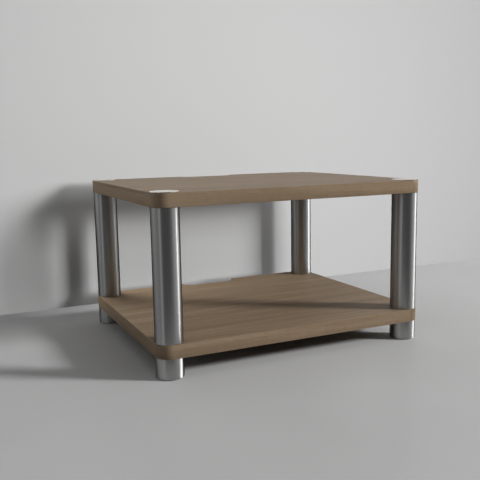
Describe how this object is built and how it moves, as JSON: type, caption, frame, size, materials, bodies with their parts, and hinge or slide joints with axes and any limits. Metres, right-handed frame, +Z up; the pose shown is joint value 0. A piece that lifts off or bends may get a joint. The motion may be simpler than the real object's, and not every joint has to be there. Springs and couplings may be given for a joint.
{
  "type": "audio equipment rack",
  "caption": "Low audio equipment rack: rounded wood-veneer shelves on round brushed-steel columns, with short steel feet, thin top caps and a cable notch in each back edge.",
  "frame": {"origin": "on the floor under the middle of the rack: the centre of the bounding box's bottom face", "axes": "+X along the width, to the right seen from the front; +Y from the front to the notched back edge; +Z up"},
  "size_m": [0.556, 0.462, 0.3242],
  "materials": {
    "veneer": "satin grey-brown walnut veneer, straight grain along the width",
    "tube_steel": "fine brushed stainless steel",
    "cap_steel": "fine turned stainless steel",
    "plug_aluminium": "turned aluminium",
    "stud_zinc": "zinc-plated steel",
    "pad_rubber": "matt black rubber"
  },
  "bodies": {
    "root": {"lower_shelf": "veneer", "top_shelf": "veneer", "floor_pad_front_left": "pad_rubber", "floor_pad_front_right": "pad_rubber", "floor_pad_rear_left": "pad_rubber", "floor_pad_rear_right": "pad_rubber", "foot_base_front_left": "tube_steel", "foot_base_front_right": "tube_steel", "foot_base_rear_left": "tube_steel", "foot_base_rear_right": "tube_steel", "foot_tube_front_left": "tube_steel", "foot_tube_front_right": "tube_steel", "foot_tube_rear_left": "tube_steel", "foot_tube_rear_right": "tube_steel", "foot_plug_front_left": "plug_aluminium", "foot_plug_front_right": "plug_aluminium", "foot_plug_rear_left": "plug_aluminium", "foot_plug_rear_right": "plug_aluminium", "lower_stud_front_left": "stud_zinc", "lower_stud_front_right": "stud_zinc", "lower_stud_rear_left": "stud_zinc", "lower_stud_rear_right": "stud_zinc", "leg_lower_plug_front_left": "plug_aluminium", "leg_lower_plug_front_right": "plug_aluminium", "leg_lower_plug_rear_left": "plug_aluminium", "leg_lower_plug_rear_right": "plug_aluminium", "leg_tube_front_left": "tube_steel", "leg_tube_front_right": "tube_steel", "leg_tube_rear_left": "tube_steel", "leg_tube_rear_right": "tube_steel", "leg_upper_plug_front_left": "plug_aluminium", "leg_upper_plug_front_right": "plug_aluminium", "leg_upper_plug_rear_left": "plug_aluminium", "leg_upper_plug_rear_right": "plug_aluminium", "upper_stud_front_left": "stud_zinc", "upper_stud_front_right": "stud_zinc", "upper_stud_rear_left": "stud_zinc", "upper_stud_rear_right": "stud_zinc", "top_cap_front_left": "cap_steel", "top_cap_front_right": "cap_steel", "top_cap_rear_left": "cap_steel", "top_cap_rear_right": "cap_steel"}
  },
  "joints": []
}
